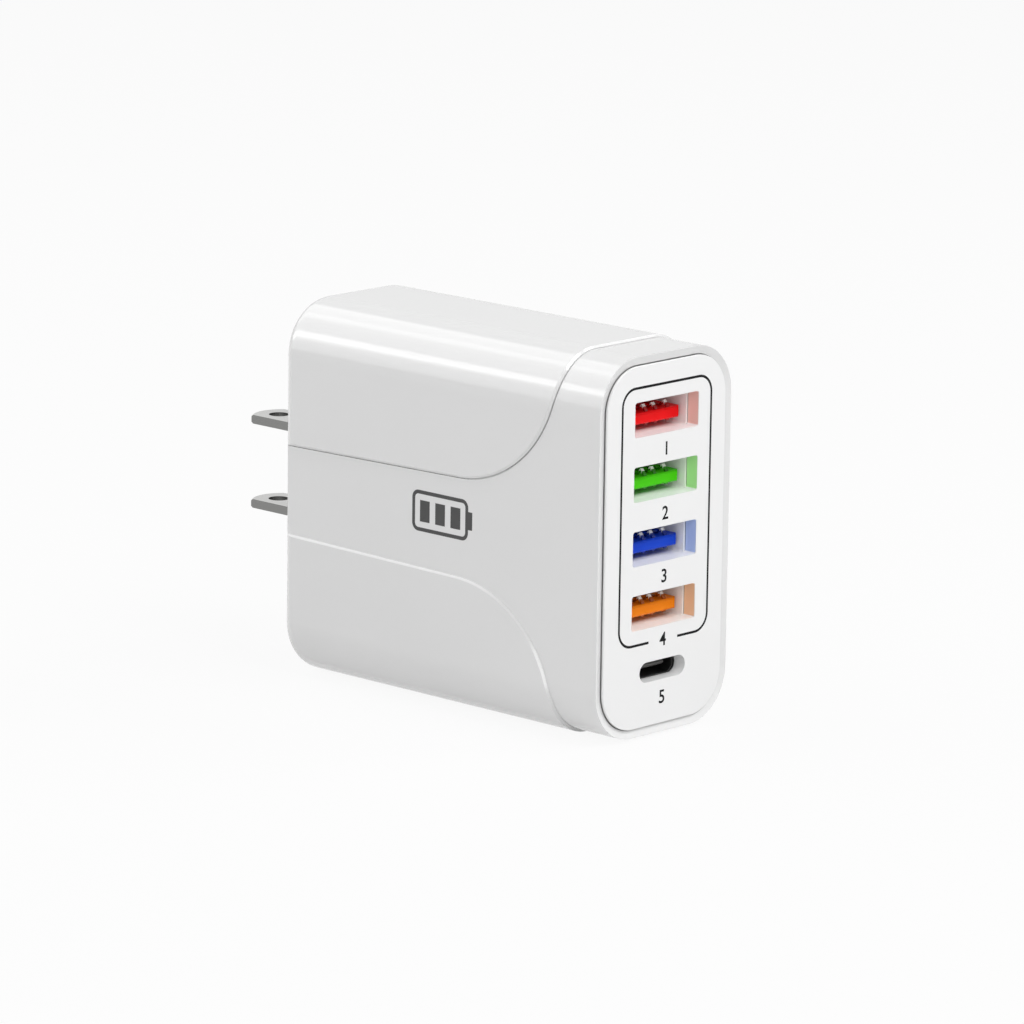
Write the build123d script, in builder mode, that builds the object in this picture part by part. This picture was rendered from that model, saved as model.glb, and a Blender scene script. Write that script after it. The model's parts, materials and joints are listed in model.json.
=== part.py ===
from build123d import *
import os
from math import cos, radians, tan

# Multi-port USB wall charger, millimetres.
# X is the width, Y runs from the ports (front, -Y) to the plug blades (rear, +Y), Z is up.
# The origin is on the base, in the middle of the housing's width and depth.

# Housing
body_width = 28.0
body_height = 55.2
body_depth = 61.8
corner_radius = 7.9
rear_radius = 2.2
side_wall = 1.8
rear_wall = 2.0

# Collar and side band, which lie a step below the upper and lower saddles
step_depth = 0.4
collar_length = 8.0
band_height = 13.1
band_flare = 1.0
seam_radius = 19.0
seam_slope = 0.3
seam_groove = 0.2
seam_groove_depth = 0.35

# Bezel and front panel
bezel_width = 1.2
bezel_rim = 0.08
bezel_drop = 0.3
panel_gap = 0.12
panel_thickness = 2.0
panel_proud = 0.15
panel_edge = 0.08

# Port openings in the panel
port_a_width = 13.2
port_a_height = 5.0
port_a_radius = 0.4
port_a_pitch = 9.17
port_a_count = 4
top_port_drop = 9.35
port_c_width = 9.5
port_c_height = 2.9
port_c_drop = 8.85

# Type A receptacles
shell_a_width = 13.1
shell_a_height = 5.7
shell_a_bevel = 0.4
shell_a_radius = 0.4
shell_thickness = 0.3
receptacle_depth = 11.2
receptacle_gap = 0.05
core_base = 3.0
tongue_a_width = 11.6
tongue_a_thickness = 1.6
tongue_a_rise = 0.15
tongue_setback = 0.5
tongue_edge = 0.25
tongue_corner = 0.6
contact_places = (-3.5, -1.0, 1.0, 3.5)
contact_width = 0.6
contact_thickness = 0.2
contact_bump = 0.75
contact_bump_run = 0.9
contact_bump_place = 1.15
contact_anchor = 0.45
contact_tip = 0.25

# Type C receptacle
shell_c_width = 8.94
shell_c_height = 3.16
tongue_c_width = 6.7
tongue_c_thickness = 0.7
tongue_c_setback = 0.8
core_c_bevel = 1.1
contact_c_width = 0.5
contact_c_thickness = 0.1
contact_c_pitch = 1.0
contact_c_count = 6

# Plug blades
blade_spacing = 12.7
blade_drop = 0.25
blade_width = 6.35
blade_thickness = 1.3
blade_reach = 17.3
blade_dome = 1.2
blade_hole = 3.0
blade_hole_place = 2.6
blade_tip_chamfer = 0.25
blade_ear = 9.0
blade_ear_depth = 1.5
blade_tail_width = 4.0
blade_tail = 4.5
slot_gap = 0.05

# Blade springs
spring_thickness = 0.4
spring_width = 3.5
spring_foot = 3.0
spring_overhang = 0.5

# Circuit boards
board_thickness = 1.6
board_stand = 2.2
board_edge = 1.8
board_fit = 0.25
rail_width = 2.0
rail_spread = 31.0
stop_length = 6.0
header_width = 2.5
header_length = 12.0

# Transformer
core_width = 15.6
core_depth = 6.0
core_height = 17.0
core_side_leg = 1.6
core_mid_leg = 4.6
core_yoke = 2.5
core_lift = 0.2
bobbin_wall = 0.6
bobbin_gap = 0.1
flange_thickness = 0.8
flange_depth = 14.0
bobbin_post = 2.4
bobbin_post_place = 5.2
winding_margin = 0.25
winding_bevel = 2.0
transformer_shift = 2.6

# Capacitors, choke and small parts on the main board
input_cap_diameter = 9.0
input_cap_length = 15.0
input_cap_spread = 33.2
output_cap_diameter = 8.0
output_cap_length = 12.0
output_cap_spread = 24.0
rear_row = 11.3
front_row = 5.7
choke_span = 8.0
choke_rise = 7.0
choke_depth = 4.0
choke_leg = 1.8
choke_wire = 1.2
choke_gap = 0.1
bridge_size = (2.4, 6.5, 5.5)
bridge_spread = 8.2
fuse_size = (6.0, 5.5, 4.0)
fuse_spread = 8.2
y_cap_diameter = 7.0
y_cap_thickness = 2.6
y_cap_neck = 2.0
y_cap_stand = 1.0
y_cap_spread = 13.5
switch_size = (2.2, 8.0, 6.0)
switch_spread = 14.0
rectifier_size = (1.8, 6.0, 5.0)
rectifier_place = 8.0
port_chip_size = (6.0, 1.6, 5.0)
port_chip_place = 3.0
port_chip_spread = 20.0

# Working room past an end face, for cuts that run right through
overrun = 2.0

# Levels along Y, from the front to the rear
front = -body_depth / 2
rear = body_depth / 2
panel_face = front - panel_proud
panel_back = panel_face + panel_thickness
receptacle_front = panel_back + receptacle_gap
port_board_front = receptacle_front + receptacle_depth
port_board_back = port_board_front + board_thickness
cavity_rear = rear - rear_wall
middle = body_height / 2

# Sections of the housing
inset_width = body_width - 2 * step_depth
inset_height = body_height - 2 * step_depth
inset_radius = corner_radius - step_depth
cavity_width = inset_width - 2 * side_wall
cavity_height = inset_height - 2 * side_wall
cavity_radius = inset_radius - side_wall
opening_width = inset_width - 2 * bezel_width
opening_height = inset_height - 2 * bezel_width
opening_radius = inset_radius - bezel_width

# Heights of the ports and the blades
port_heights = [body_height - top_port_drop - port_a_pitch * i for i in range(port_a_count)]
port_c_z = port_heights[-1] - port_c_drop
blade_heights = {
    "upper": middle - blade_drop + blade_spacing / 2,
    "lower": middle - blade_drop - blade_spacing / 2,
}

# Main board: it stands on rails on the -X wall, and its parts rise towards +X
board_back_x = -cavity_width / 2 + board_stand
board_face_x = board_back_x + board_thickness
board_front_y = port_board_back
board_rear_y = cavity_rear - board_fit
board_length = board_rear_y - board_front_y
board_middle_y = (board_front_y + board_rear_y) / 2
rear_row_y = board_rear_y - rear_row
front_row_y = board_front_y + front_row
transformer_y = board_middle_y - transformer_shift


def cross_plane(y):
    """Plane across the depth at y, drawn in X and Z, facing the front."""
    return Plane.XZ.offset(-y)


def board_plane(y, z):
    """Plane on the main board's face at (y, z), drawn in Y and Z, facing +X."""
    return Plane(origin=(board_face_x, y, z), x_dir=(0, 1, 0), z_dir=(1, 0, 0))


def keep(piece, label):
    piece.part.label = label
    export_step(piece.part, f"parts/{label}.step")


os.makedirs("parts", exist_ok=True)

# Body at the level of the collar and band, drawn long at both ends
with BuildPart() as inset_body:
    with BuildSketch(cross_plane(front - overrun)):
        with Locations((0, middle)):
            RectangleRounded(inset_width, inset_height, inset_radius)
    extrude(amount=-(body_depth + 3 * overrun))

# Side view, drawn in Y and Z from mid height
side_view = Plane(origin=(0, 0, middle), x_dir=(0, 1, 0), z_dir=(1, 0, 0))
band_end = rear + 2 * overrun
half_clear = body_height / 2 + overrun


def saddle_edge(shift):
    """Edge of the upper saddle in the side view, moved off the saddle by shift."""
    corner = front + collar_length - shift
    rise = tan(radians(band_flare))
    level = band_height / 2 - shift / cos(radians(band_flare))
    return FilletPolyline(
        (band_end, level + (rear - band_end) * rise),
        (corner, level + (rear - corner) * rise),
        (corner, half_clear),
        radius=seam_radius + shift,
    )


# Collar and band: a T lying on its side, its two inner corners swept round
with BuildPart() as step_cutter:
    with BuildSketch(side_view):
        with BuildLine():
            seam = saddle_edge(0)
            Polyline(seam @ 1, (front - overrun, half_clear), (front - overrun, 0))
            Line(seam @ 0, (band_end, 0))
            mirror(about=Plane.XZ)
        make_face()
    extrude(amount=body_width, both=True)
    add(inset_body.part, mode=Mode.SUBTRACT)

# Thin groove along the foot of the upper saddle
with BuildPart() as groove_cutter:
    with BuildSketch(side_view):
        with BuildLine():
            near = saddle_edge(0)
            far = saddle_edge(seam_groove)
            Line(near @ 0, far @ 0)
            Line(near @ 1, far @ 1)
        make_face()
    extrude(amount=body_width, both=True)
    with BuildSketch(cross_plane(front - overrun)):
        with Locations((0, middle)):
            RectangleRounded(
                inset_width - 2 * seam_groove_depth,
                inset_height - 2 * seam_groove_depth,
                inset_radius - seam_groove_depth,
            )
    extrude(amount=-(body_depth + 3 * overrun), mode=Mode.SUBTRACT)

# Outer envelope with its rear rim rounded
with BuildPart() as envelope:
    with BuildSketch(cross_plane(front)):
        with Locations((0, middle)):
            RectangleRounded(body_width, body_height, corner_radius)
    extrude(amount=-body_depth)
    fillet(envelope.faces().sort_by(Axis.Y)[-1].edges(), radius=rear_radius)

# Main shell: a one-piece housing, open at the front, with rails and stops for the boards
with BuildPart() as main_shell:
    with BuildSketch(cross_plane(front)):
        with Locations((0, middle)):
            RectangleRounded(body_width, body_height, corner_radius)
    extrude(amount=-(body_depth + overrun))
    add(step_cutter.part, mode=Mode.SUBTRACT)
    step_edges = main_shell.edges(Select.LAST)
    chamfer(
        [e for e in step_edges if inset_body.part.distance_to(e @ 0.5) > step_depth / 2],
        length=seam_slope,
    )
    add(envelope.part, mode=Mode.INTERSECT)
    add(groove_cutter.part, mode=Mode.SUBTRACT)
    # Seat of the front panel, then the inner room
    with BuildSketch(cross_plane(front)):
        with Locations((0, middle)):
            RectangleRounded(opening_width, opening_height, opening_radius)
    extrude(amount=-(panel_back - front), mode=Mode.SUBTRACT)
    with BuildSketch(cross_plane(panel_back)):
        with Locations((0, middle)):
            RectangleRounded(cavity_width, cavity_height, cavity_radius)
    extrude(amount=-(cavity_rear - panel_back), mode=Mode.SUBTRACT)
    # Bezel: the front ring falls away slightly towards the panel
    bezel_run = bezel_width - bezel_rim
    with BuildSketch(cross_plane(front)):
        with Locations((0, middle)):
            RectangleRounded(
                opening_width + 2 * bezel_run,
                opening_height + 2 * bezel_run,
                opening_radius + bezel_run,
            )
    with BuildSketch(cross_plane(front + bezel_drop)):
        with Locations((0, middle)):
            RectangleRounded(opening_width, opening_height, opening_radius)
    loft(ruled=True, mode=Mode.SUBTRACT)
    # Slots for the two blades
    with BuildSketch(cross_plane(rear + overrun)):
        with Locations(*[(0, z) for z in blade_heights.values()]):
            Rectangle(blade_width + 2 * slot_gap, blade_thickness + 2 * slot_gap)
    extrude(amount=rear_wall + 2 * overrun, mode=Mode.SUBTRACT)
    # Rails under the main board
    with BuildSketch(Plane.YZ.offset(-cavity_width / 2)):
        with Locations((board_middle_y, middle)):
            with GridLocations(0, rail_spread, 1, 2):
                Rectangle(board_length, rail_width)
    extrude(amount=board_stand)
    # Stops behind the port board on the other wall
    with BuildSketch(Plane.YZ.offset(cavity_width / 2)):
        with Locations((port_board_back + stop_length / 2, middle)):
            with GridLocations(0, rail_spread, 1, 2):
                Rectangle(stop_length, rail_width)
    extrude(amount=-board_stand)
keep(main_shell, "main_shell")

# Front panel with its five port openings
with BuildPart() as front_panel:
    with BuildSketch(cross_plane(panel_back)):
        with Locations((0, middle)):
            RectangleRounded(
                opening_width - 2 * panel_gap,
                opening_height - 2 * panel_gap,
                opening_radius - panel_gap,
            )
    extrude(amount=panel_thickness)
    chamfer(front_panel.faces().sort_by(Axis.Y)[0].edges(), length=panel_edge)
    with BuildSketch(cross_plane(panel_back)):
        with Locations(*[(0, z) for z in port_heights]):
            RectangleRounded(port_a_width, port_a_height, port_a_radius)
        with Locations((0, port_c_z)):
            SlotOverall(port_c_width, port_c_height)
    extrude(amount=panel_thickness, mode=Mode.SUBTRACT)
keep(front_panel, "front_panel")

# Type A receptacles: a metal shell, a coloured core with its tongue, and four spring contacts
tongue_a_front = receptacle_front + tongue_setback
base_front = port_board_front - core_base
shell_inner_width = shell_a_width - 2 * shell_thickness
shell_inner_height = shell_a_height - 2 * shell_thickness
for number, port_z in enumerate(port_heights, start=1):
    with BuildPart() as usb_a_shell:
        with BuildSketch(cross_plane(receptacle_front)) as shell_view:
            with Locations((0, port_z)):
                Rectangle(shell_a_width, shell_a_height)
            chamfer(shell_view.vertices(), length=shell_a_bevel)
            with Locations((0, port_z)):
                RectangleRounded(
                    shell_inner_width,
                    shell_inner_height,
                    shell_a_radius,
                    mode=Mode.SUBTRACT,
                )
        extrude(amount=-receptacle_depth)
    keep(usb_a_shell, f"usb_a_shell_{number}")

    tongue_top = port_z + tongue_a_rise
    tongue_bottom = tongue_top - tongue_a_thickness
    slot_height = contact_thickness + 2 * slot_gap
    with BuildPart() as usb_a_core:
        with BuildSketch(cross_plane(port_board_front)) as base_view:
            with Locations((0, port_z)):
                Rectangle(
                    shell_inner_width - 2 * receptacle_gap,
                    shell_inner_height - 2 * receptacle_gap,
                )
            chamfer(base_view.vertices(), length=shell_a_radius)
        extrude(amount=core_base)
        with BuildSketch(cross_plane(port_board_front)):
            with Locations((0, tongue_top - tongue_a_thickness / 2)):
                Rectangle(tongue_a_width, tongue_a_thickness)
        extrude(amount=port_board_front - tongue_a_front)
        tip = usb_a_core.faces().sort_by(Axis.Y)[0]
        chamfer(tip.edges().filter_by(Axis.Z), length=tongue_corner)
        tip = usb_a_core.faces().sort_by(Axis.Y)[0]
        chamfer(tip.edges().filter_by(Axis.X), length=tongue_edge)
        # Slots that the contacts pass through, in the base and near the tongue's tip
        with BuildSketch(cross_plane(port_board_front)):
            with Locations(*[(x, tongue_top + contact_thickness / 2) for x in contact_places]):
                Rectangle(contact_width + 2 * slot_gap, slot_height)
        extrude(amount=core_base, mode=Mode.SUBTRACT)
        anchor_y = tongue_a_front + contact_anchor + contact_thickness / 2
        with BuildSketch(Plane.XY.offset(tongue_bottom)):
            with Locations(*[(x, anchor_y) for x in contact_places]):
                Rectangle(contact_width + 2 * slot_gap, slot_height)
        extrude(amount=tongue_a_thickness, mode=Mode.SUBTRACT)
    keep(usb_a_core, f"usb_a_core_{number}")

    # Each contact is hooked through the tongue, rises to a bump and runs back to the port board
    with BuildPart() as usb_a_contacts:
        hook = tongue_a_front + contact_anchor
        crest = tongue_a_front + contact_bump_place
        foot = crest + contact_bump_run
        for x in contact_places:
            with BuildSketch(Plane.YZ.offset(x)):
                with BuildLine():
                    Polyline(
                        (hook, tongue_bottom - contact_tip),
                        (hook + contact_thickness, tongue_bottom - contact_tip),
                        (hook + contact_thickness, tongue_top),
                        (crest, tongue_top + contact_bump),
                        (foot, tongue_top),
                        (port_board_front, tongue_top),
                        (port_board_front, tongue_top + contact_thickness),
                        (foot, tongue_top + contact_thickness),
                        (crest, tongue_top + contact_bump + contact_thickness),
                        (hook, tongue_top + contact_thickness),
                        close=True,
                    )
                make_face()
            extrude(amount=contact_width / 2, both=True)
    keep(usb_a_contacts, f"usb_a_contacts_{number}")

# Type C receptacle: an oval shell, a core with a central tongue, and its two rows of contacts
shell_c_inner_width = shell_c_width - 2 * shell_thickness
shell_c_inner_height = shell_c_height - 2 * shell_thickness
tongue_c_front = receptacle_front + tongue_c_setback
with BuildPart() as usb_c_shell:
    with BuildSketch(cross_plane(receptacle_front)):
        with Locations((0, port_c_z)):
            SlotOverall(shell_c_width, shell_c_height)
            SlotOverall(shell_c_inner_width, shell_c_inner_height, mode=Mode.SUBTRACT)
    extrude(amount=-receptacle_depth)
keep(usb_c_shell, "usb_c_shell")

with BuildPart() as usb_c_core:
    with BuildSketch(cross_plane(port_board_front)) as core_view:
        with Locations((0, port_c_z)):
            Rectangle(
                shell_c_inner_width - 2 * receptacle_gap,
                shell_c_inner_height - 2 * receptacle_gap,
            )
        chamfer(core_view.vertices(), length=core_c_bevel)
    extrude(amount=core_base)
    with BuildSketch(cross_plane(port_board_front)):
        with Locations((0, port_c_z)):
            Rectangle(tongue_c_width, tongue_c_thickness)
    extrude(amount=port_board_front - tongue_c_front)
    nose = usb_c_core.faces().sort_by(Axis.Y)[0]
    chamfer(nose.edges().filter_by(Axis.X), length=tongue_edge)
keep(usb_c_core, "usb_c_core")

with BuildPart() as usb_c_contacts:
    row_gap = tongue_c_thickness + contact_c_thickness
    with BuildSketch(cross_plane(base_front)):
        with Locations((0, port_c_z)):
            with GridLocations(contact_c_pitch, row_gap, contact_c_count, 2):
                Rectangle(contact_c_width, contact_c_thickness)
    extrude(amount=base_front - tongue_c_front - 2 * tongue_edge)
keep(usb_c_contacts, "usb_c_contacts")

# Plug blades: flat strips with a domed tip, held inside by a pair of ears
for name, blade_z in blade_heights.items():
    blade_end = rear + blade_reach
    half_blade = blade_width / 2
    ear_back = cavity_rear - blade_ear_depth
    tail_back = ear_back - blade_tail
    with BuildPart() as plug_blade:
        with BuildSketch(Plane.XY.offset(blade_z)):
            with BuildLine():
                edge = Polyline(
                    (0, tail_back),
                    (blade_tail_width / 2, tail_back),
                    (blade_tail_width / 2, ear_back),
                    (blade_ear / 2, ear_back),
                    (blade_ear / 2, cavity_rear),
                    (half_blade, cavity_rear),
                    (half_blade, blade_end),
                )
                mirror(about=Plane.YZ)
                ThreePointArc(edge @ 1, (0, blade_end + blade_dome), (-half_blade, blade_end))
            make_face()
        extrude(amount=blade_thickness / 2, both=True)
        tip_edges = plug_blade.edges().filter_by(GeomType.CIRCLE)
        chamfer(tip_edges, length=blade_tip_chamfer)
        with Locations((0, blade_end - blade_hole_place, blade_z + blade_thickness / 2)):
            Hole(radius=blade_hole / 2)
    keep(plug_blade, f"plug_blade_{name}")

    # Spring strip from the blade's tail to the main board, turned away from the other blade
    away = 1 if name == "upper" else -1
    seat_z = blade_z + away * blade_thickness / 2
    spring_end = blade_tail_width / 2 + spring_overhang
    with BuildPart() as blade_spring:
        with BuildSketch(cross_plane(ear_back - slot_gap)):
            with BuildLine():
                Polyline(
                    (spring_end, seat_z),
                    (board_face_x, seat_z),
                    (board_face_x, seat_z + away * spring_foot),
                    (board_face_x + spring_thickness, seat_z + away * spring_foot),
                    (board_face_x + spring_thickness, seat_z + away * spring_thickness),
                    (spring_end, seat_z + away * spring_thickness),
                    close=True,
                )
            make_face()
        extrude(amount=spring_width)
    keep(blade_spring, f"blade_spring_{name}")

# Boards and the header that joins them
with BuildPart() as main_board:
    with BuildSketch(Plane.YZ.offset(board_back_x)):
        with Locations((board_middle_y, middle)):
            Rectangle(board_length, cavity_height - 2 * board_edge)
    extrude(amount=board_thickness)
keep(main_board, "main_board")

with BuildPart() as port_board:
    with BuildSketch(cross_plane(port_board_back)) as board_view:
        with Locations((0, middle)):
            Rectangle(cavity_width - 2 * board_fit, cavity_height - 2 * board_fit)
        chamfer(board_view.vertices(), length=cavity_radius - board_fit)
    extrude(amount=board_thickness)
keep(port_board, "port_board")

with BuildPart() as board_header:
    with BuildSketch(board_plane(board_front_y + header_width / 2, middle)):
        Rectangle(header_width, header_length)
    extrude(amount=header_width)
keep(board_header, "board_header")

# Transformer: a closed ferrite frame with a middle leg, a bobbin on that leg and its winding
core_x = board_face_x + core_lift + core_width / 2
window_width = (core_width - core_mid_leg) / 2 - core_side_leg
window_height = core_height - 2 * core_yoke
bobbin_height = window_height - 2 * bobbin_gap
tube_width = core_mid_leg + 2 * (bobbin_gap + bobbin_wall)
tube_depth = core_depth + 2 * (bobbin_gap + bobbin_wall)
flange_width = core_mid_leg + 2 * (window_width - bobbin_gap)
with BuildPart() as transformer_core:
    with BuildSketch(cross_plane(transformer_y)):
        with Locations((core_x, middle)):
            Rectangle(core_width, core_height)
            with GridLocations(core_mid_leg + window_width, 0, 2, 1):
                Rectangle(window_width, window_height, mode=Mode.SUBTRACT)
    extrude(amount=core_depth / 2, both=True)
keep(transformer_core, "transformer_core")

bobbin_floor = Plane.XY.offset(middle - bobbin_height / 2)
with BuildPart() as transformer_bobbin:
    with BuildSketch(bobbin_floor):
        with Locations((core_x, transformer_y)):
            Rectangle(tube_width, tube_depth)
    extrude(amount=bobbin_height)
    for level in (middle - bobbin_height / 2, middle + bobbin_height / 2 - flange_thickness):
        with BuildSketch(Plane.XY.offset(level)):
            with Locations((core_x, transformer_y)):
                Rectangle(flange_width, flange_depth)
            # Posts that stand on the board on both sides of the core
            post_length = core_x - board_face_x
            with Locations((core_x - post_length / 2, transformer_y)):
                with GridLocations(0, 2 * bobbin_post_place, 1, 2):
                    Rectangle(post_length, bobbin_post)
        extrude(amount=flange_thickness)
    with BuildSketch(bobbin_floor):
        with Locations((core_x, transformer_y)):
            Rectangle(core_mid_leg + 2 * bobbin_gap, core_depth + 2 * bobbin_gap)
    extrude(amount=bobbin_height, mode=Mode.SUBTRACT)
keep(transformer_bobbin, "transformer_bobbin")

with BuildPart() as transformer_winding:
    with BuildSketch(Plane.XY.offset(middle - bobbin_height / 2 + flange_thickness)) as turns_view:
        with Locations((core_x, transformer_y)):
            Rectangle(flange_width - 2 * winding_margin, flange_depth - 2 * winding_margin)
        chamfer(turns_view.vertices(), length=winding_bevel)
        with Locations((core_x, transformer_y)):
            Rectangle(tube_width, tube_depth, mode=Mode.SUBTRACT)
    extrude(amount=bobbin_height - 2 * flange_thickness)
keep(transformer_winding, "transformer_winding")


# Electrolytic capacitors: plain cans
def capacitor(label, diameter, length, y, z):
    with BuildPart() as can:
        with BuildSketch(board_plane(y, z)):
            Circle(diameter / 2)
        extrude(amount=length)
    keep(can, label)


for number, side in ((1, 1), (2, -1)):
    capacitor(
        f"input_capacitor_{number}",
        input_cap_diameter,
        input_cap_length,
        rear_row_y,
        middle + side * input_cap_spread / 2,
    )
    capacitor(
        f"output_capacitor_{number}",
        output_cap_diameter,
        output_cap_length,
        front_row_y,
        middle + side * output_cap_spread / 2,
    )

# Input choke: a ferrite frame that stands on the board, with a winding on its outer leg
choke_window = choke_span - 2 * choke_leg
with BuildPart() as choke_core:
    with BuildSketch(Plane.XY.offset(middle)):
        with Locations((board_face_x + choke_rise / 2, rear_row_y)):
            Rectangle(choke_rise, choke_span)
            Rectangle(choke_rise - 2 * choke_leg, choke_window, mode=Mode.SUBTRACT)
    extrude(amount=choke_depth / 2, both=True)
keep(choke_core, "choke_core")

with BuildPart() as choke_winding:
    with BuildSketch(cross_plane(rear_row_y)):
        with Locations((board_face_x + choke_rise - choke_leg / 2, middle)):
            Rectangle(choke_leg + 2 * choke_wire, choke_depth + 2 * choke_wire)
            Rectangle(choke_leg, choke_depth, mode=Mode.SUBTRACT)
    extrude(amount=choke_window / 2 - choke_gap, both=True)
keep(choke_winding, "choke_winding")


# Small block-shaped parts on the main board, sized in X, Y and Z
def board_block(label, size, y, z):
    with BuildPart() as block:
        with BuildSketch(board_plane(y, z)):
            Rectangle(size[1], size[2])
        extrude(amount=size[0])
    keep(block, label)


board_block("bridge_rectifier", bridge_size, rear_row_y, middle + bridge_spread)
board_block("switch_chip", switch_size, transformer_y, middle + switch_spread)
board_block("rectifier_chip", rectifier_size, board_front_y + rectifier_place, middle)
board_block("fuse", fuse_size, rear_row_y, middle - fuse_spread)

# Safety capacitor: a disc on a short neck
with BuildPart() as y_capacitor:
    disc_z = middle - y_cap_spread
    disc_x = board_face_x + y_cap_stand + y_cap_diameter / 2
    with BuildSketch(Plane.XY.offset(disc_z)):
        with Locations((disc_x, transformer_y)):
            Circle(y_cap_diameter / 2)
        with Locations(((board_face_x + disc_x) / 2, transformer_y)):
            Rectangle(disc_x - board_face_x, y_cap_neck)
    extrude(amount=y_cap_thickness / 2, both=True)
keep(y_capacitor, "y_capacitor")

# Port controllers on the back of the port board
for number, side in ((1, 1), (2, -1)):
    with BuildPart() as port_chip:
        with BuildSketch(cross_plane(port_board_back)):
            with Locations((port_chip_place, middle + side * port_chip_spread / 2)):
                Rectangle(port_chip_size[0], port_chip_size[2])
        extrude(amount=-port_chip_size[1])
    keep(port_chip, f"port_chip_{number}")
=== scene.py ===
import json
import math
import bpy
import numpy as np
from mathutils import Matrix, Vector


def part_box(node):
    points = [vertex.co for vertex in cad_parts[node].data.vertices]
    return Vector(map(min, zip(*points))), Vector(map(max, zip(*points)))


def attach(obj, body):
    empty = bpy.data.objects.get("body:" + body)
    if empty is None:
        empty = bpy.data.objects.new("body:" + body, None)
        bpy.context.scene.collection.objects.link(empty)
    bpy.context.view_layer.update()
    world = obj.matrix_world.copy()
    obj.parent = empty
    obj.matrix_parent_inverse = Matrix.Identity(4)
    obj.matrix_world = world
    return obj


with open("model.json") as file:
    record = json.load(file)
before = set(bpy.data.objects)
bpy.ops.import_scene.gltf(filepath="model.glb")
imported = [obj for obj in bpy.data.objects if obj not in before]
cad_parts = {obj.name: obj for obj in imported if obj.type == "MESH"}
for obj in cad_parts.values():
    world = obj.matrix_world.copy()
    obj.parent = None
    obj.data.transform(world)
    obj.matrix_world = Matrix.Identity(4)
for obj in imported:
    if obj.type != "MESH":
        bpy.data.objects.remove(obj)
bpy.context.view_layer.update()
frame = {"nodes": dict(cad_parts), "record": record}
nodes = frame["nodes"]
mm = 0.001
print("frame:", len(nodes), "nodes")


class Value:  # one output of a node; arithmetic on it adds Math nodes
    def __init__(self, wiring, socket):
        self.wiring = wiring
        self.socket = socket

    def calc(self, operation, first, second=0.0):
        return self.wiring.node("ShaderNodeMath", {"operation": operation}, {0: first, 1: second})

    def __add__(self, other):
        return self.calc("ADD", self, other)

    def __radd__(self, other):
        return self.calc("ADD", other, self)

    def __sub__(self, other):
        return self.calc("SUBTRACT", self, other)

    def __rsub__(self, other):
        return self.calc("SUBTRACT", other, self)

    def __mul__(self, other):
        return self.calc("MULTIPLY", self, other)

    def __rmul__(self, other):
        return self.calc("MULTIPLY", other, self)

    def __abs__(self):
        return self.calc("ABSOLUTE", self)

    def atLeast(self, other):
        return self.calc("MAXIMUM", self, other)

    def root(self):
        return self.calc("SQRT", self)

    def rise(self, low, high):  # 0 up to low, 1 from high on, smooth between them
        return self.wiring.node("ShaderNodeMapRange", {"interpolation_type": "SMOOTHSTEP"},
                                {"Value": self, "From Min": low, "From Max": high})

    def within(self, low, high):  # held between two limits
        return self.wiring.node("ShaderNodeClamp", {}, {"Value": self, "Min": low, "Max": high})


class Wiring:  # the nodes of one tree
    def __init__(self, tree):
        self.tree = tree

    def feed(self, socket, value):
        if isinstance(value, Value):
            self.tree.links.new(value.socket, socket)
        else:
            socket.default_value = value

    def node(self, kind, settings, sockets, output=0):
        made = self.tree.nodes.new(kind)
        for key, value in settings.items():
            setattr(made, key, value)
        for key, value in sockets.items():
            self.feed(made.inputs[key], value)
        return Value(self, made.outputs[output])

    def mix(self, factor, first, second):  # colours: 6 and 7 are the RGBA pair of a Mix node
        return self.node("ShaderNodeMix", {"data_type": "RGBA"}, {0: factor, 6: first, 7: second}, 2)

    def noise(self, place, scale, detail):
        return self.node("ShaderNodeTexNoise", {}, {"Vector": place, "Scale": scale, "Detail": detail})

    def place(self, stretch):
        spot = self.node("ShaderNodeTexCoord", {}, {}, "Object")
        return self.node("ShaderNodeMapping", {}, {"Vector": spot, "Scale": stretch})

    def axes(self):  # object coordinates in millimetres
        apart = self.node("ShaderNodeSeparateXYZ", {}, {"Vector": self.place((1000, 1000, 1000))})
        return [Value(self, output) for output in apart.socket.node.outputs]


class Finish(Wiring):  # a material and its Principled shader
    def __init__(self, name, fixed):
        self.material = bpy.data.materials.new(name)
        self.material.use_nodes = True
        super().__init__(self.material.node_tree)
        self.shader = self.tree.nodes["Principled BSDF"]
        for socket, value in fixed.items():
            self.shader.inputs[socket].default_value = value

    def surface(self, colour, rough, height):  # height in metres
        self.feed(self.shader.inputs["Base Color"], colour)
        self.feed(self.shader.inputs["Roughness"], rough)
        bump = self.node("ShaderNodeBump", {}, {"Strength": 1.0, "Distance": 1.0, "Height": height})
        self.feed(self.shader.inputs["Normal"], bump)
        return self.material


def grainedFinish(name, look):
    # two noises: a broad one drifts the colour between two tones, a fine one moves gloss and bump
    skin = Finish(name, {
        "Metallic": look.get("metal", 0.0),
        "Coat Weight": look.get("coat", 0.0),
        "Coat Roughness": look.get("coatRough", 0.08),
        "Specular IOR Level": look.get("shine", 0.5),
    })
    place = skin.place(look.get("stretch", (1, 1, 1)))
    fine = skin.noise(place, look["grain"], 3.0)
    broad = skin.noise(place, look["cloud"], 1.0)
    colour = skin.mix(broad, (*look["tones"][0], 1), (*look["tones"][1], 1))
    if "marks" in look:
        for share, tone in look["marks"](*skin.axes()):
            colour = skin.mix(share, colour, (*tone, 1))
    rough = look["rough"] + look["drift"] * (fine - 0.5)
    height = 0.4 * look["depth"] * fine  # the grain shows at less than its full depth
    if "relief" in look:
        height = height + mm * look["relief"](*skin.axes())
    return skin.surface(colour, rough, height)


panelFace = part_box("front_panel")[0].y
portHeights = {n: sum(corner.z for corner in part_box(f"usb_a_shell_{n}")) / 2 / mm for n in (1, 2, 3, 4)}


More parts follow.
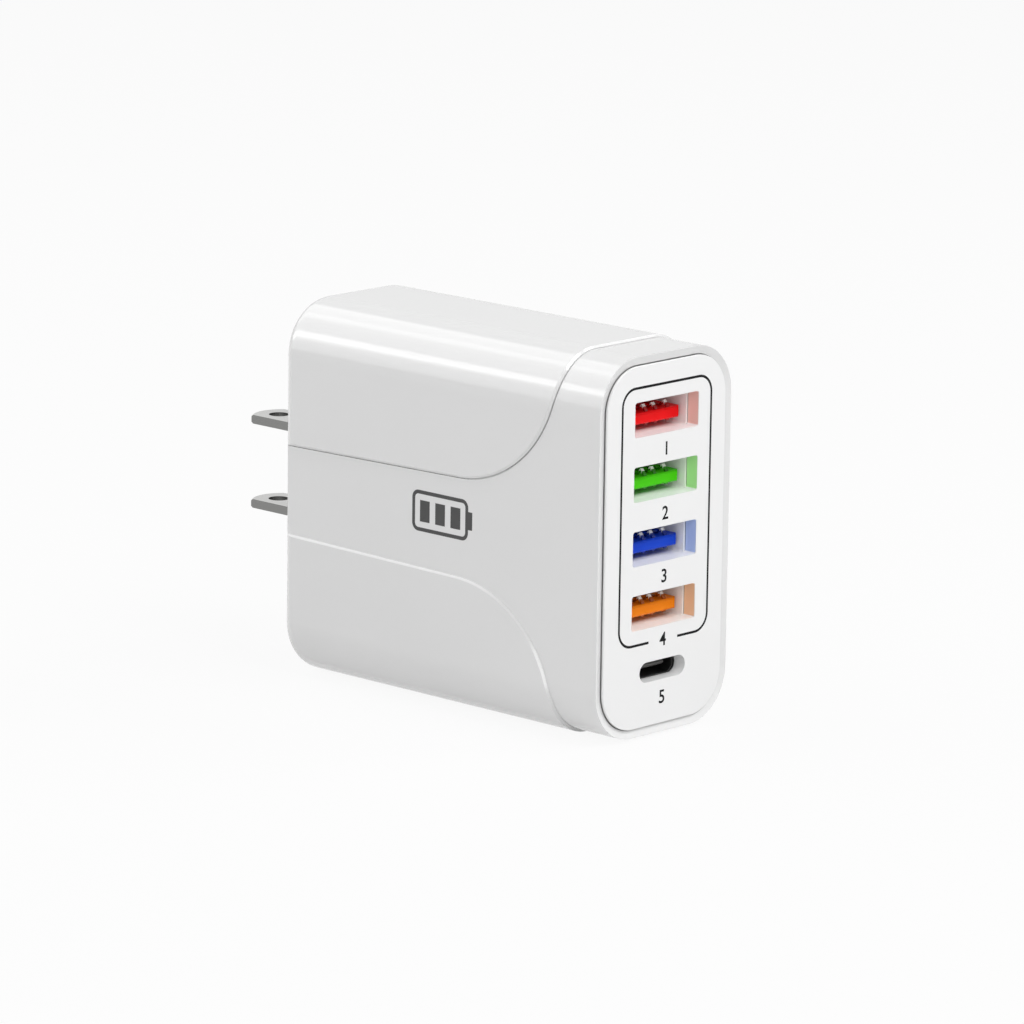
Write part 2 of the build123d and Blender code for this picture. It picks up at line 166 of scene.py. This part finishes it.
bezel = {"straight": (6.1, 19.7), "middle": 27.6, "from": 6.3, "to": 7.5, "steeper": 0.12}


def outward(x, z):
    # distance from a rectangle inside the panel, the same all along the rounded outlines of panel and bezel
    outX = (abs(x) - bezel["straight"][0]).atLeast(0)
    outZ = (abs(z - bezel["middle"]) - bezel["straight"][1]).atLeast(0)
    return (outX * outX + outZ * outZ).root()


def bezelRelief(x, y, z):
    # height grows outwards across the bezel, which so takes the light as a steeper slope
    return bezel["steeper"] * outward(x, z).within(bezel["from"], bezel["to"])


# tones painted into the openings and the gap: a near white painted light, coloured painted reflections and a dark
# painted shade
pocket = {"halfHigh": (2.55, 2.7), "halfWide": (6.8, 6.9), "wall": (6.48, 6.56), "lip": (0.06, 0.14),
          "gapReach": (6.1, 6.14), "gapDepth": (0.24, 0.36), "gap": (0.20, 0.20, 0.20), "inner": (0.97, 0.97, 0.97),
          "paintedReflectionTints": {1: (0.92, 0.58, 0.52), 2: (0.48, 0.92, 0.36), 3: (0.48, 0.60, 0.92), 4: (0.92, 0.58, 0.36)}}


def nearPort(z, number):  # 1 inside the height of one opening
    return 1 - abs(z - portHeights[number]).rise(*pocket["halfHigh"])


def panelPaintedLight(x, y, z):
    # painted light: the walls and floors of the openings are painted near white, a painted light, their side walls
    # take the tint of the core beyond them, a painted reflection, and the panel's rim is painted dark down in the gap,
    # a painted shade
    depth = y - panelFace / mm
    inside = 1 - abs(x).rise(*pocket["halfWide"])
    side = abs(x).rise(*pocket["wall"])
    for number, tint in pocket["paintedReflectionTints"].items():
        opening = depth.rise(*pocket["lip"]) * inside * nearPort(z, number)
        yield opening, pocket["inner"]
        yield opening * side, tint
    yield depth.rise(*pocket["gapDepth"]) * outward(x, z).rise(*pocket["gapReach"]), pocket["gap"]


# the dark tone on the blade's edges and hole wall is a painted shade
bladeEdgeShade = {"tone": (0.245, 0.245, 0.24), "half": 3.1, "soft": 0.03,
            "tip": (44.6, 4.73), "tipFrom": (47.0, 47.2), "hole": (45.6, 1.55)}


def beyond(distance, limit):  # 0 inside the limit, 1 past it
    return distance.rise(limit - bladeEdgeShade["soft"], limit + bladeEdgeShade["soft"])


def bladePaintedShade(x, y, z):
    # the side edges, the arc of the tip and the wall of the hole are painted darker than the flat faces, a painted
    # shade
    tipCentre, tipRadius = bladeEdgeShade["tip"]
    holeCentre, holeRadius = bladeEdgeShade["hole"]
    fromTip = y - tipCentre
    fromHole = y - holeCentre
    edge = beyond(abs(x), bladeEdgeShade["half"])
    tip = beyond((x * x + fromTip * fromTip).root(), tipRadius) * y.rise(*bladeEdgeShade["tipFrom"])
    hole = 1 - beyond((x * x + fromHole * fromHole).root(), holeRadius)
    yield edge.atLeast(tip).atLeast(hole), bladeEdgeShade["tone"]


# the bright crest is a painted glint, the dark core tones are painted shade
contactShadeAndGlint = {"from": -27.70, "to": -27.06, "soft": 0.08,
           "paintedShade": {1: (0.36, 0.001, 0.002), 2: (0.026, 0.25, 0.002), 3: (0.003, 0.025, 0.27), 4: (0.40, 0.09, 0.003)}}


def contactPaintedLight(x, y, z):
    # only the crest of each spring is left bright, a painted glint; the rest is painted in the shaded colour of its
    # core, a painted shade and a painted coloured reflection
    start, stop, soft = (contactShadeAndGlint[k] for k in ("from", "to", "soft"))
    paintedGlint = y.rise(start, start + soft) * (1 - y.rise(stop - soft, stop))
    for number, tone in contactShadeAndGlint["paintedShade"].items():
        yield (1 - paintedGlint) * nearPort(z, number), tone


# the lip tone is a painted highlight, the shell tone a painted shade
typeC = {"lip": (-28.0, -27.9), "lipHighlightTone": (0.16, 0.155, 0.15),
         "below": (13.0, 14.0), "shellShadeTone": (0.012, 0.012, 0.012)}


def lipPaintedHighlight(x, y, z):
    # the front lip of the type C tongue is painted a paler grey, a painted highlight
    yield 1 - y.rise(*typeC["lip"]), typeC["lipHighlightTone"]


def typeCPaintedShade(x, y, z):
    # the type C shell is painted near black, a painted shade for the inside of the slot
    yield 1 - z.rise(*typeC["below"]), typeC["shellShadeTone"]


looks = {
    "white_housing": {"tones": ((0.80, 0.80, 0.80), (0.83, 0.83, 0.83)), "rough": 0.20, "drift": 0.04,
                      "grain": 2600, "cloud": 45, "depth": 2e-6, "coat": 0.9, "shine": 0.6, "relief": bezelRelief},
    "white_panel": {"tones": ((0.86, 0.86, 0.86), (0.88, 0.88, 0.88)), "rough": 0.30, "drift": 0.06,
                    "grain": 3200, "cloud": 60, "depth": 2e-6, "coat": 0.15, "marks": panelPaintedLight},
    "blade_metal": {"tones": ((0.60, 0.60, 0.59), (0.69, 0.69, 0.68)), "rough": 0.30, "drift": 0.14, "metal": 1.0,
                    "grain": 5200, "cloud": 500, "depth": 3e-6, "stretch": (1, 0.06, 1), "marks": bladePaintedShade},
    "port_metal": {"tones": ((0.96, 0.955, 0.94), (0.98, 0.975, 0.96)), "rough": 0.42, "drift": 0.10, "metal": 0.02,
                   "grain": 6000, "cloud": 700, "depth": 2e-6, "stretch": (1, 0.08, 1), "marks": typeCPaintedShade},
    "contact_metal": {"tones": ((0.96, 0.95, 0.92), (0.99, 0.98, 0.96)), "rough": 0.30, "drift": 0.08, "metal": 0.05,
                      "grain": 7000, "cloud": 900, "depth": 1e-6, "marks": contactPaintedLight},
    "spring_metal": {"tones": ((0.70, 0.46, 0.24), (0.80, 0.56, 0.32)), "rough": 0.32, "drift": 0.10, "metal": 1.0,
                     "grain": 5000, "cloud": 500, "depth": 2e-6},
    "red_plastic": {"tones": ((0.84, 0.002, 0.004), (0.92, 0.004, 0.007)), "rough": 0.42, "drift": 0.06,
                    "grain": 5000, "cloud": 500, "depth": 2e-6, "shine": 0.12},
    "green_plastic": {"tones": ((0.058, 0.58, 0.002), (0.078, 0.68, 0.004)), "rough": 0.42, "drift": 0.06,
                      "grain": 5000, "cloud": 500, "depth": 2e-6, "shine": 0.12},
    "blue_plastic": {"tones": ((0.006, 0.05, 0.56), (0.010, 0.072, 0.66)), "rough": 0.42, "drift": 0.06,
                     "grain": 5000, "cloud": 500, "depth": 2e-6, "shine": 0.12},
    "orange_plastic": {"tones": ((0.86, 0.21, 0.003), (0.94, 0.26, 0.005)), "rough": 0.42, "drift": 0.06,
                       "grain": 5000, "cloud": 500, "depth": 2e-6, "shine": 0.12},
    "black_plastic": {"tones": ((0.012, 0.012, 0.012), (0.024, 0.024, 0.025)), "rough": 0.42, "drift": 0.12,
                      "grain": 4200, "cloud": 400, "depth": 4e-6, "marks": lipPaintedHighlight},
    "board": {"tones": ((0.015, 0.14, 0.05), (0.03, 0.22, 0.08)), "rough": 0.40, "drift": 0.12,
              "grain": 3000, "cloud": 900, "depth": 5e-6},
    "ferrite": {"tones": ((0.035, 0.035, 0.04), (0.06, 0.06, 0.065)), "rough": 0.62, "drift": 0.16,
                "grain": 3600, "cloud": 500, "depth": 9e-6},
    "winding": {"tones": ((0.52, 0.17, 0.05), (0.74, 0.30, 0.10)), "rough": 0.34, "drift": 0.12, "metal": 1.0,
                "grain": 4200, "cloud": 2400, "depth": 9e-6, "stretch": (0.08, 0.08, 1)},
    "capacitor_sleeve": {"tones": ((0.012, 0.016, 0.04), (0.022, 0.028, 0.06)), "rough": 0.36, "drift": 0.10,
                         "grain": 3000, "cloud": 300, "depth": 4e-6},
    "disc_coating": {"tones": ((0.03, 0.12, 0.42), (0.05, 0.17, 0.52)), "rough": 0.46, "drift": 0.14,
                     "grain": 2400, "cloud": 300, "depth": 6e-6},
}
finishes = {slot: grainedFinish(slot, look) for slot, look in looks.items()}
for row in frame["record"]["subparts"]:
    for spot in nodes[row["node"]].material_slots:
        spot.material = finishes[row["material_slot"]]
print("finishes:", len(finishes))

inkLook = {"tones": ((0.004, 0.004, 0.005), (0.010, 0.010, 0.011)), "rough": 0.55, "drift": 0.10,
           "grain": 4200, "cloud": 600, "depth": 2e-6, "shine": 0.15}
greyInkLook = dict(inkLook, tones=((0.085, 0.085, 0.085), (0.105, 0.105, 0.105)))
ink = grainedFinish("panel_ink", inkLook)
greyInk = grainedFinish("side_ink", greyInkLook)


def addPiece(name, points, faces, finish):
    mesh = bpy.data.meshes.new(name)
    mesh.from_pydata(points.tolist(), [], faces)
    mesh.materials.append(finish)
    piece = bpy.data.objects.new(name, mesh)
    bpy.context.scene.collection.objects.link(piece)
    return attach(piece, "root")


def roundedLoop(halfWide, low, high, radius, steps):
    # four quarter circles about the corner centres, anticlockwise from the lower right; the sides join their ends
    turn = np.linspace(0, math.pi / 2, steps)[None, :] + np.array([-1, 0, 1, 2])[:, None] * math.pi / 2
    acrossCentre = (halfWide - radius) * np.array([1, 1, -1, -1])[:, None]
    upCentre = np.array([low + radius, high - radius, high - radius, low + radius])[:, None]
    return np.stack([acrossCentre + radius * np.cos(turn), upCentre + radius * np.sin(turn)], 2).reshape(-1, 2)


printing = {"sink": 0.01 * mm, "rise": 0.02 * mm, "topShare": 0.84}


def inkLine(name, path, closed, width, toFrame, finish):
    # a flat profile, bevelled at its upper edges, carried along the path; at each point it is widened by the
    # mitre of the two neighbouring directions, so that the line keeps one width round its corners
    before = np.roll(path, 1, 0) if closed else np.vstack([path[:1] * 2 - path[1:2], path[:-1]])
    after = np.roll(path, -1, 0) if closed else np.vstack([path[1:], path[-1:] * 2 - path[-2:-1]])
    ahead = (after - path) / np.linalg.norm(after - path, axis=1)[:, None]
    behind = (path - before) / np.linalg.norm(path - before, axis=1)[:, None]
    middle = ahead + behind
    middle /= np.linalg.norm(middle, axis=1)[:, None]
    side = np.stack([middle[:, 1], -middle[:, 0]], 1) / (middle * ahead).sum(1)[:, None]
    sink, rise, top = printing["sink"], printing["rise"], printing["topShare"] / 2
    profile = np.array([(-0.5, -sink), (0.5, -sink), (0.5, rise / 2), (top, rise), (-top, rise), (-0.5, rise / 2)])
    flat = path[:, None, :] + side[:, None, :] * profile[None, :, :1] * width
    lift = np.broadcast_to(profile[None, :, 1:], (*flat.shape[:2], 1))
    points = toFrame(np.concatenate([flat, lift], 2).reshape(-1, 3))
    rows, columns = len(path), len(profile)
    i = np.arange(rows if closed else rows - 1)[:, None]
    j = np.arange(columns)[None, :]
    iNext, jNext = (i + 1) % rows, (j + 1) % columns
    quads = np.stack([i * columns + j, iNext * columns + j, iNext * columns + jNext, i * columns + jNext], 2)
    faces = quads.reshape(-1, 4).tolist()
    if not closed:
        faces += [list(range(columns)), list(range(rows * columns - 1, (rows - 1) * columns - 1, -1))]
    return addPiece(name, points, faces, finish)


bandFace = -0.0136  # the side band, a step inside the housing's widest face


def onPanel(flat):  # across and up on the panel, lift towards the front
    return np.stack([flat[:, 0], panelFace - flat[:, 2], flat[:, 1]], 1)


def onBand(flat):  # across runs to the front on the left side, lift towards -X
    return np.stack([bandFace - flat[:, 2], -flat[:, 0], flat[:, 1]], 1)


portFrame = {"halfWide": 9.19, "low": 13.73, "high": 50.4, "radius": 2.5, "width": 0.36, "gap": 3.0}
loop = roundedLoop(*[portFrame[k] * mm for k in ("halfWide", "low", "high", "radius")], 12)
cut = portFrame["gap"] * mm
framePath = np.vstack([[cut, portFrame["low"] * mm], loop, [-cut, portFrame["low"] * mm]])
inkLine("port_frame_line", framePath, False, portFrame["width"] * mm, onPanel, ink)

batterySign = {"across": 0.6, "up": 28.7, "halfWide": 5.2, "low": -2.7, "high": 2.7, "radius": 0.9, "line": 0.55,
               "nub": (5.875, 1.3), "nubWide": 0.8, "bars": (-3.0, 0.0, 3.0), "bar": (1.9, 1.55)}
centre = np.array([batterySign["across"], batterySign["up"]]) * mm
case = roundedLoop(*[batterySign[k] * mm for k in ("halfWide", "low", "high", "radius")], 10)
inkLine("battery_case", case + centre, True, batterySign["line"] * mm, onBand, greyInk)
for number, across in enumerate(batterySign["bars"], 1):
    barWide, barHalf = batterySign["bar"]
    bar = np.array([(across, -barHalf), (across, barHalf)]) * mm + centre
    inkLine(f"battery_bar_{number}", bar, False, barWide * mm, onBand, greyInk)
nubAcross, nubHalf = batterySign["nub"]
nub = np.array([(nubAcross, -nubHalf), (nubAcross, nubHalf)]) * mm + centre
inkLine("battery_nub", nub, False, batterySign["nubWide"] * mm, onBand, greyInk)

portNumbers = {"size": 2.7, "rise": 0.015, "bold": 0.035,
               "places": {"1": 41.0, "2": 31.8, "3": 22.8, "4": 13.7, "5": 5.4}}
for digit, up in portNumbers["places"].items():
    words = bpy.data.curves.new(f"digit_{digit}", "FONT")
    words.body = digit
    words.size = portNumbers["size"] * mm
    words.extrude = portNumbers["rise"] * mm
    words.offset = portNumbers["bold"] * mm
    words.align_x = "CENTER"
    words.align_y = "CENTER"
    holder = bpy.data.objects.new(f"digit_{digit}", words)
    bpy.context.scene.collection.objects.link(holder)
    bpy.context.view_layer.update()
    mesh = bpy.data.meshes.new_from_object(holder.evaluated_get(bpy.context.evaluated_depsgraph_get()))
    bpy.data.objects.remove(holder)
    mesh.transform(Matrix.Translation((0, panelFace, up * mm)) @ Matrix.Rotation(math.pi / 2, 4, "X"))
    mesh.materials.clear()
    mesh.materials.append(ink)
    piece = bpy.data.objects.new(f"port_number_{digit}", mesh)
    bpy.context.scene.collection.objects.link(piece)
    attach(piece, "root")
print("printed pieces made")

shot = {"azimuth": -46.787, "elevation": 12.442, "roll": 0.797, "distance": 0.88977,
        "target": (0, -0.0009, 0.0276), "lens": 219.1, "shift": (0.00424, -0.0033)}
azimuth, elevation, roll = (math.radians(shot[k]) for k in ("azimuth", "elevation", "roll"))
back = Vector((math.sin(azimuth) * math.cos(elevation), -math.cos(azimuth) * math.cos(elevation), math.sin(elevation)))
level = Vector((math.cos(azimuth), math.sin(azimuth), 0))
right = math.cos(roll) * level + math.sin(roll) * back.cross(level)
camera = bpy.data.objects.new("camera", bpy.data.cameras.new("camera"))
camera.data.lens = shot["lens"]
camera.data.shift_x, camera.data.shift_y = shot["shift"]
camera.data.clip_start, camera.data.clip_end = 0.01, 50
turned = Matrix((right, back.cross(right), back)).transposed().to_4x4()
camera.matrix_world = Matrix.Translation(Vector(shot["target"]) + back * shot["distance"]) @ turned
bpy.context.scene.collection.objects.link(camera)
bpy.context.scene.camera = camera

lamps = {  # each stands in a direction from the object, its long side along a second direction
    "rear_box": {"toward": (-0.264, 0.669, 0.695), "along": (0, 1, 0),
                 "distance": 0.85, "size": (0.9, 0.98), "power": 2.6},
    "wash_box": {"toward": (-0.70, 0.67, 0.244), "along": (0, 1, 0),
                 "distance": 0.85, "size": (0.9, 0.34), "power": 0.80},
    "strip_low": {"toward": (-0.59, 0.67, 0.45), "along": (0, 1, 0),
                  "distance": 0.85, "size": (0.9, 0.13), "power": 0.70},
    "strip_high": {"toward": (-0.115, 0.67, 0.735), "along": (0, 1, 0),
                   "distance": 0.85, "size": (0.9, 0.12), "power": 0.22},
    "key_box": {"toward": (0.64, -0.48, 0.60), "along": (1, 0, 0),
                "distance": 1.0, "size": (0.5, 0.5), "power": 3.1},
    "front_box": {"toward": (0.0, -0.65, 0.76), "along": (1, 0, 0),
                  "distance": 1.1, "size": (0.6, 0.6), "power": 6.5},
    "side_box": {"toward": (-0.74, -0.58, 0.34), "along": (0, 1, 0),
                 "distance": 1.0, "size": (0.5, 0.5), "power": 1.6},
}
aimPoint = Vector(shot["target"])
for name, lamp in lamps.items():
    light = bpy.data.lights.new(name, "AREA")
    light.shape = "RECTANGLE"
    light.size, light.size_y = lamp["size"]
    light.energy = lamp["power"]
    away = Vector(lamp["toward"]).normalized()
    long = Vector(lamp["along"])
    long = (long - long.dot(away) * away).normalized()
    holder = bpy.data.objects.new(name, light)
    facing = Matrix((long, away.cross(long), away)).transposed().to_4x4()
    holder.matrix_world = Matrix.Translation(aimPoint + away * lamp["distance"]) @ facing
    holder.visible_camera = False
    bpy.context.scene.collection.objects.link(holder)
print("camera and", len(lamps), "lamps")


room = {"fill": 0.16, "mirrored": 0.78,
        "floorHalf": 4.0, "floorTone": 0.70, "floorGlow": 0.92, "floorDrop": 0.05 * mm}


def seenWhite(wiring):  # 1 for camera rays, less for mirror rays, 0 for light on the object
    path = wiring.node("ShaderNodeLightPath", {}, {}).socket.node
    rays = ("Is Camera Ray", "Is Glossy Ray", "Is Transmission Ray")
    seen, mirrored, through = [Value(wiring, path.outputs[ray]) for ray in rays]
    return seen + through + room["mirrored"] * mirrored


world = bpy.data.worlds.new("room")
bpy.context.scene.world = world
world.use_nodes = True
air = Wiring(world.node_tree)
glow = world.node_tree.nodes["Background"]
glow.inputs["Color"].default_value = (1, 1, 1, 1)
air.feed(glow.inputs["Strength"], room["fill"] + (1 - room["fill"]) * seenWhite(air))

reach = room["floorHalf"]
corners = np.array([(-reach, -reach, 0), (reach, -reach, 0), (reach, reach, 0), (-reach, reach, 0)]) - (0, 0, room["floorDrop"])
floorMesh = bpy.data.meshes.new("floor")
floorMesh.from_pydata(corners.tolist(), [], [[0, 1, 2, 3]])
floor = bpy.data.objects.new("floor", floorMesh)
bpy.context.scene.collection.objects.link(floor)
paper = Finish("floor_paper", {"Base Color": (*[room["floorTone"]] * 3, 1), "Roughness": 0.9})
lit = paper.node("ShaderNodeEmission", {}, {})
plain = Value(paper, paper.shader.outputs[0])
seen = paper.node("ShaderNodeMixShader", {}, {0: room["floorGlow"] * seenWhite(paper), 1: plain, 2: lit})
paper.feed(paper.tree.nodes["Material Output"].inputs["Surface"], seen)
floorMesh.materials.append(paper.material)
bpy.context.scene.view_settings.view_transform = "Standard"
print("room ready")
